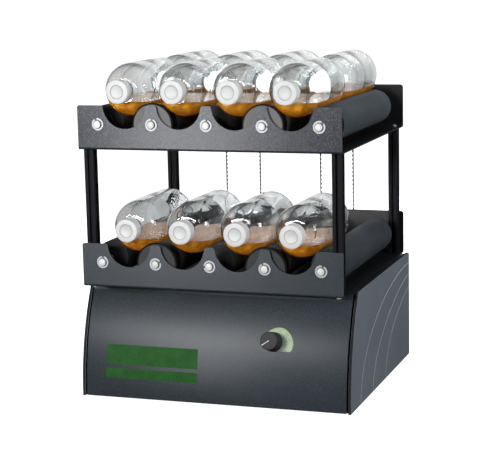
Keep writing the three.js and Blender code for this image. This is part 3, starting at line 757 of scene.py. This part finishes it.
first = {}
def add_bottle(tag, node, track, axle, y):
    body = node + "_body"
    mat = Matrix.Translation(pt(TX[track], y, axle + BU))
    spin = Matrix.Rotation(math.pi / 2 * random.randrange(4), 4, "Y")
    if "glass" not in first:
        first["glass"] = make(tag + "_glass", gv, gf, "glass", body, 40, shift=False, loc=mat @ spin)
        first["cap"] = make(tag + "_cap", cv, cf, "cap", body, 40, shift=False, loc=mat @ spin)
        first["cap"].data.materials.append(M["cap_groove_shade"])
        # the faces of the ring groove take the grey (painted shade in the recess)
        for p in first["cap"].data.polygons:
            rr = math.hypot(p.center.x, p.center.z) / MM
            if 13.5 < rr < 15.1 and p.center.y < .002:
                p.material_index = 1
        me = liquid_mesh()
        first["liquid"] = finish_mesh(tag + "_liquid", me, ["liquid", "liquid_top"], "frame", 40, loc=mat)
        for p in me.polygons:
            if p.normal.z > .99:
                p.material_index = 1
                p.use_smooth = False
        gl, cp, lq = first["glass"], first["cap"], first["liquid"]
    else:
        gl = again(tag + "_glass", first["glass"], mat @ spin, body)
        cp = again(tag + "_cap", first["cap"], mat @ spin, body)
        lq = again(tag + "_liquid", first["liquid"], mat, "frame")
    gl.visible_shadow = False
    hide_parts(node)
for t in range(4):
    add_bottle(f"lower_{t + 1}", f"lower_bottle_{t + 1}", t, LO, -12)
    add_bottle(f"upper_front_{t + 1}", f"upper_front_bottle_{t + 1}", t, UP, -37)
    add_bottle(f"upper_rear_{t + 1}", f"upper_rear_bottle_{t + 1}", t, UP, 244)

# -------------------------------------------------------------------- drive
def stadium(x, z0, z1, r, steps):
    """Points and normals along a vertical stadium loop, evenly by length."""
    L = 2 * (z1 - z0) + 2 * math.pi * r
    out = []
    for i in range(steps):
        s = L * i / steps
        if s < (z1 - z0):
            out.append(((x + r, z0 + s), (1, 0)))
        elif s < (z1 - z0) + math.pi * r:
            a = (s - (z1 - z0)) / r
            out.append(((x + r * math.cos(a), z1 + r * math.sin(a)), (math.cos(a), math.sin(a))))
        elif s < 2 * (z1 - z0) + math.pi * r:
            q = s - (z1 - z0) - math.pi * r
            out.append(((x - r, z1 - q), (-1, 0)))
        else:
            a = math.pi + (s - 2 * (z1 - z0) - math.pi * r) / r
            out.append(((x + r * math.cos(a), z0 + r * math.sin(a)), (math.cos(a), math.sin(a))))
    return out

def hull_loop(circles, steps):
    """Pitch line round circles (cx, cz, r), convex, evenly by length."""
    pts = []
    for cx, cz, r in circles:
        pts += arc(cx, cz, r, 0, 359, 359)
    pts = sorted(set((round(a, 6), round(b, 6)) for a, b in pts))
    def half(seq):
        h = []
        for q in seq:
            while len(h) > 1 and (h[-1][0] - h[-2][0]) * (q[1] - h[-2][1]) - (h[-1][1] - h[-2][1]) * (q[0] - h[-2][0]) <= 1e-9:
                h.pop()
            h.append(q)
        return h[:-1]
    poly = half(pts) + half(pts[::-1])
    seg = [(Vector(poly[i]), Vector(poly[(i + 1) % len(poly)])) for i in range(len(poly))]
    L = sum((b - a).length for a, b in seg)
    out = []
    k, acc = 0, 0.0
    for i in range(steps):
        s = L * i / steps
        while acc + (seg[k][1] - seg[k][0]).length < s:
            acc += (seg[k][1] - seg[k][0]).length
            k += 1
        a, b = seg[k]
        t = (s - acc) / max((b - a).length, 1e-9)
        q = a.lerp(b, t)
        d = (b - a).normalized()
        out.append(((q.x, q.y), (d.y, -d.x)))
    return out

def belt(name, line_fn, teeth, y, node, back=1.9, root=-1.0, tip=-2.9, half=5):
    n = teeth * 10
    L = line_fn(n)
    outer = [(p[0] + q[0] * back, p[1] + q[1] * back) for p, q in L]
    prof = [tip, tip, tip, tip * .75 + root * .25, root, root, root, root, root * .75 + tip * .25, tip]
    inner = [(p[0] + q[0] * prof[i % 10], p[1] + q[1] * prof[i % 10]) for i, (p, q) in enumerate(L)]
    o = prism(name, outer, [inner], 'xz', y - half, y + half, .12, "belt", "frame", res=1)
    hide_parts(node)
RP = 41.4
for x, y, k, rp in ((-P, 596.5, 2, 44.56), (P, 573, 4, 41.38)):
    n_t = round((2 * (UP - LO) + 2 * math.pi * rp) / 10)
    belt(f"toothed_belt_{k}", lambda n, x=x, rp=rp: stadium(x, LO, UP, rp, n), n_t, y, f"lift_belt_{k}", .65, -.45, -2.3, 2.25)
MP = 31.8
drive = lambda n: hull_loop([(-P, LO, RP), (P, LO, RP), (0, 150, MP)], n)
d_len = 0
_l = drive(2000)
for i in range(2000):
    a, b = _l[i][0], _l[(i + 1) % 2000][0]
    d_len += math.hypot(a[0] - b[0], a[1] - b[1])
belt("toothed_drive_belt", drive, round(d_len / 10.04), 557, "drive_belt")

def gear_r(teeth, root, tip):
    def fn(i, r, t):
        if r > 0 and abs(r - tip) < 1e-3:
            ph = (t * teeth / (2 * math.pi)) % 1
            return tip if ph < .5 else root
        return r
    return fn
def pulley(name, node, x, z, seats, hub, bore, teeth, body, seg):
    """seats: (y, half width, tooth radius, flange radius)."""
    prof = []
    for k, (y, e, sr, fr, _) in enumerate(seats):
        prof += [(fr - 1, y - e - 1.5), (fr, y - e - 1.2), (fr, y - e - .4), (sr + 1.2, y - e), (sr, y - e + .02), (sr, y + e - .02), (sr + 1.2, y + e), (fr, y + e + .4), (fr, y + e + 1.2), (fr - 1, y + e + 1.5)]
        if k == 0 and len(seats) > 1:
            y2, e2 = seats[1][0], seats[1][1]
            prof += [(hub, y + e + 1.5), (hub, y2 - e2 - 1.5)]
    f0, f1 = seats[0][3], seats[-1][3]
    prof = [(bore, prof[0][1])] + [(20, prof[0][1]), (20.5, prof[0][1] + .6), (f0 - 6, prof[0][1] + .6), (f0 - 5.5, prof[0][1])] + prof + [(f1 - 5.5, prof[-1][1]), (f1 - 6, prof[-1][1] - .6), (20.5, prof[-1][1] - .6), (20, prof[-1][1]), (bore, prof[-1][1])]
    tips = {round(q[2], 3) for q in seats}
    def fn(i, r, t):
        for q in seats:
            if abs(r - q[2]) < 1e-3:
                return q[2] if (t * q[4] / (2 * math.pi)) % 1 < .5 else q[2] - 1.8
        return r
    o = lathe(name, prof, seg, x, z, "alu", body, closed=True, rfun=fn)
    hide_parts(node)
    return o
DRV = (557, 5.5, 38.3, 45, 26)
L2, L4 = (596.5, 2.65, 42.0, 47.76, 28), (573, 2.65, 38.8, 44.58, 26)
pulley("lower_toothed_2", "lower_pulley_2", -P, LO, [DRV, L2], 17, 8.24, 26, "lower_roller_body_2", 728)
pulley("lower_toothed_4", "lower_pulley_4", P, LO, [DRV, L4], 17, 8.24, 26, "lower_roller_body_4", 156)
pulley("upper_toothed_2", "upper_pulley_2", -P, UP, [L2], 17, 8.24, 28, "upper_roller_body_2", 168)
pulley("upper_toothed_4", "upper_pulley_4", P, UP, [L4], 17, 8.24, 26, "upper_roller_body_4", 156)
pulley("motor_toothed", "motor_pulley", 0, 150, [(557, 5.5, 28.7, 36, 20)], 14, 6.4, 20, "motor_pulley_body", 120)

# ------------------------------------------------------------ speed control
KH = 143.0
TILT = math.asin(KH / FRONT_ARC)
SEAT = Vector((131.7, front_y(KH), Z0 + KH))
KM = Matrix.Translation(pt(*SEAT)) @ Matrix.Rotation(-TILT, 4, 'X')
KR, KF, KL = 21.2, 19.4, 32.0
def knob_r(i, r, t):
    if 5 <= i <= 7:
        return r - .3 * (.5 + .5 * math.cos(48 * t)) ** 2
    return r
kp = [(3.6, -1.0), (19.4, -1.0), (KR - .3, -1.2), (KR, -1.7), (KR, -3.4), (KR - .35, -4.0), (KR - 1, -16), (KF + .3, 3.2 - KL), (KF, 1.3 - KL), (KF - .35, .45 - KL), (KF - 1.1, -KL), (KF - 1.9, .12 - KL), (0, .12 - KL), (0, 4 - KL), (3.6, 4 - KL)]
v, f = revolve(kp, 240, closed=True, rfun=knob_r)
knob = make("knob_body", v, f, "knob", "speed_knob_body", 30, shift=False, loc=KM)
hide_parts("speed_knob")
# pointer: a white inlay from near the middle to the edge
a = math.radians(215)
dx, dz = math.cos(a), math.sin(a)
nx, nz = -dz, dx
ptr = [(dx * s + nx * w, dz * s + nz * w) for s, w in ((-.6, -.6), (17.6, -.6), (17.6, .6), (-.6, .6))]
pv = [(u, .02 - KL, w) for u, w in ptr] + [(u, .5 - KL, w) for u, w in ptr]
pf = [(0, 1, 2, 3), (7, 6, 5, 4), (0, 4, 5, 1), (1, 5, 6, 2), (2, 6, 7, 3), (3, 7, 4, 0)]
pointer = make("knob_pointer", pv, pf, "white_mark", "speed_knob_body", 30, shift=False, loc=KM)

# Printed swelling scale round the knob, on the bowed front.
def on_front(u, w, lift):
    """u across from the knob, w up the surface, in mm."""
    h = FRONT_ARC * math.sin(TILT + w / FRONT_ARC)
    n = Vector((0, -math.cos(math.asin(h / FRONT_ARC)), h / FRONT_ARC))
    p0 = Vector((SEAT.x + u, front_y(h), Z0 + h)) + n * (lift - .6)
    return tuple(p0)
def decal(name, outline, lift, mat):
    """Flat printed patch on the bowed front; outline in (u, w), convex enough to fan by strips."""
    cu = bpy.data.curves.new(name + "_c", 'CURVE')
    cu.dimensions = '2D'
    cu.fill_mode = 'BOTH'
    sp = cu.splines.new('POLY')
    sp.points.add(len(outline) - 1)
    for q, (u, v) in zip(sp.points, outline):
        q.co = (u, v, 0, 1)
    sp.use_cyclic_u = True
    cu.extrude = .5
    ob = bpy.data.objects.new(name + "_c", cu)
    scene.collection.objects.link(ob)
    me = bpy.data.meshes.new_from_object(ob.evaluated_get(bpy.context.evaluated_depsgraph_get()))
    bpy.data.objects.remove(ob)
    bpy.data.curves.remove(cu)
    me.materials.clear()
    for v in me.vertices:
        u, w, d = v.co
        v.co = pt(*on_front(u, w, lift if d > 0 else .02))
    o = finish_mesh(name, me, mat, "frame", 30)
    return o
# the outer edge swells from nothing at the upper left to a flat end at the lower right
XF = 3.5
OUTER = [(-15.5 - XF, 14.2), (-9.5 - XF, 20.4), (-1.0 - XF, 26.6), (8.0 - XF, 30.4), (17.0 - XF, 31.6), (26.0 - XF, 30.0), (34.0 - XF, 25.2), (41.2 - XF, 18.0), (46.2 - XF, 9.5), (48.8 - XF, .5), (48.4 - XF, -8.5), (45.6 - XF, -16.0), (43.2 - XF, -19.4)]
edge = smooth_line(OUTER, 6)
inner = [(21.3 * math.cos(math.radians(q)), 21.3 * math.sin(math.radians(q))) for q in range(-60, 146, 6)]
decal("scale_face", edge + [(13.0, -19.4)] + inner, .1, "pale_green")
cen = Vector((14.0 - XF, -1.0))
band = [tuple(cen + (Vector(q) - cen) * 1.0) for q in edge[2:62]]
inb = [tuple(cen + (Vector(q) - cen) * (1 - .05 - .10 * math.sin(math.pi * min(1, i / 59)))) for i, q in enumerate(edge[2:62])]
decal("scale_edge", band + inb[::-1], .16, "green_edge")

# Plain green trim bars where the front carries its print.
def bar(name, x0, x1, h0, h1, mat):
    N = 6
    verts, faces = [], []
    for lift in (.1, .02):
        for j in range(N + 1):
            h = h0 + (h1 - h0) * j / N
            n = Vector((0, -math.cos(math.asin(h / FRONT_ARC)), h / FRONT_ARC))
            for x in (x0, x1):
                verts.append(tuple(Vector((x, front_y(h), Z0 + h)) + n * (lift - .6)))
    m = 2 * (N + 1)
    for j in range(N):
        a_ = 2 * j
        faces += [(a_, a_ + 1, a_ + 3, a_ + 2), (m + a_, m + a_ + 2, m + a_ + 3, m + a_ + 1), (a_, a_ + 2, m + a_ + 2, m + a_), (a_ + 1, m + a_ + 1, m + a_ + 3, a_ + 3)]
    faces += [(0, m, m + 1, 1), (2 * N, 2 * N + 1, m + 2 * N + 1, m + 2 * N)]
    o = make(name, verts, faces, mat, "frame", 30)

bar("trim_bar_upper", -252, -37.5, 75, 118, "green")
bar("trim_bar_lower", -252, -37.5, 45, 67, "green")

# -------------------------------------------------------------------- feet
for n in ("foot_front_left", "foot_front_right", "foot_rear_left", "foot_rear_right"):
    lo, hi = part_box(n)
    cx, cy = (lo.x + hi.x) / 2 / MM, (lo.y + hi.y) / 2 / MM - YS
    v, f = revolve([(0, 0), (12, 0), (12.6, .3), (13, .8), (14.6, 6.6), (14.2, 7.3), (13.4, 7.7), (0, 7.7)], 48)
    o = make(n + "_pad", [(a + cx, -c + cy, b) for a, b, c in v], f, "foot", "frame")
    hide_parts(n)

# -------------------------------------------------------------------- power
for n, k in (("power_entry", "entry"), ("power_switch", "entry")):
    o = frame["nodes"][n]
    o.data.materials.clear()
    o.data.materials.append(M[k])

# ------------------------------------------------------------ stage and light
def stage():
    me = bpy.data.meshes.new("floor")
    s = 30
    me.from_pydata([(-s, -s, 0), (s, -s, 0), (s, s, 0), (-s, s, 0)], [], [(0, 1, 2, 3)])
    o = bpy.data.objects.new("floor", me)
    scene.collection.objects.link(o)
    m, nt, b = nodes_of("floor")
    b.inputs["Base Color"].default_value = (.8, .8, .8, 1)
    b.inputs["Roughness"].default_value = .9
    b.inputs["Specular IOR Level"].default_value = 0
    b.inputs["Emission Color"].default_value = (1, 1, 1, 1)
    b.inputs["Emission Strength"].default_value = 1.0
    me.materials.append(m)
    o.visible_diffuse = False
    o.visible_glossy = False
    o.visible_transmission = False
stage()

def area(name, loc, target, size, power, color=(1, 1, 1), sy=None):
    l = bpy.data.lights.new(name, 'AREA')
    l.shape = 'RECTANGLE'
    l.size = size
    l.size_y = sy or size
    l.energy = power
    l.color = color
    o = bpy.data.objects.new(name, l)
    scene.collection.objects.link(o)
    o.location = loc
    o.rotation_euler = (Vector(loc) - Vector(target)).to_track_quat('Z', 'Y').to_euler()
    return o

def world():
    """White to the camera; for light, bright behind and overhead, darker at the sides."""
    w = bpy.data.worlds.new("studio")
    scene.world = w
    w.use_nodes = True
    nt = w.node_tree
    bg = nt.nodes["Background"]
    tc = put(nt, "ShaderNodeTexCoord")
    sep = put(nt, "ShaderNodeSeparateXYZ")
    nt.links.new(tc.outputs["Generated"], sep.inputs[0])
    def curve(src, stops):
        r = put(nt, "ShaderNodeValToRGB")
        r.color_ramp.interpolation = 'EASE'
        els = r.color_ramp.elements
        mr = put(nt, "ShaderNodeMapRange")
        mr.inputs["From Min"].default_value = -1
        mr.inputs["From Max"].default_value = 1
        nt.links.new(src, mr.inputs["Value"])
        nt.links.new(mr.outputs["Result"], r.inputs["Fac"])
        for i, (p, v) in enumerate(stops):
            e = els[i] if i < 2 else els.new((p + 1) / 2)
            e.position = (p + 1) / 2
            e.color = (v, v, v, 1)
        return r.outputs["Color"]
    def op(kind, a, b):
        m = put(nt, "ShaderNodeMath", operation=kind)
        for k, q in enumerate((a, b)):
            if isinstance(q, (int, float)):
                m.inputs[k].default_value = q
            else:
                nt.links.new(q, m.inputs[k])
        return m.outputs[0]
    ahead = op('ADD', op('MULTIPLY', sep.outputs["Y"], .947), op('MULTIPLY', sep.outputs["X"], -.32))
    back = curve(ahead, [(-1, .16), (.2, .14), (.8, .08), (.9, 1.0), (1, 1.0)])
    top = curve(sep.outputs["Z"], [(-1, 0), (.8, 0), (.96, .9), (1, 1.0)])
    low = curve(sep.outputs["Z"], [(-1, .16), (-.3, .22), (-.14, .62), (.0, .92), (.3, .92), (.44, .2), (1, .2)])
    light = op('MAXIMUM', op('MULTIPLY', back, low), top)
    lp = put(nt, "ShaderNodeLightPath")
    mx = op('MAXIMUM', light, lp.outputs["Is Camera Ray"])
    nt.links.new(mx, bg.inputs["Color"])
    bg.inputs["Strength"].default_value = 1.0
world()
key = area("key", (-.71, -2.42, 1.02), (0, -.25, .25), .42, 44)
key.visible_glossy = False
card = area("card", (-.62, -1.75, .33), (-.1, -.28, .33), .42, 20, (1, 1, 1), .65)
card.visible_diffuse = False
wide = area("wide_card", (-.78, -2.42, .93), (0, -.25, .25), 2.1, 118, (1, 1, 1), .24)
wide.visible_diffuse = False
back_fill = area("back_fill", (.7, 2.5, 1.2), (0, .2, .35), 1.4, 46)
back_fill.visible_glossy = False
back_fill.visible_transmission = False
left_fill = area("left_fill", (-2.4, .7, .9), (-.3, 0, .3), 1.2, 16)
left_fill.visible_glossy = False
left_fill.visible_transmission = False
area("side_fill", (2.4, -.9, .9), (.3, 0, .3), 1.0, 40)
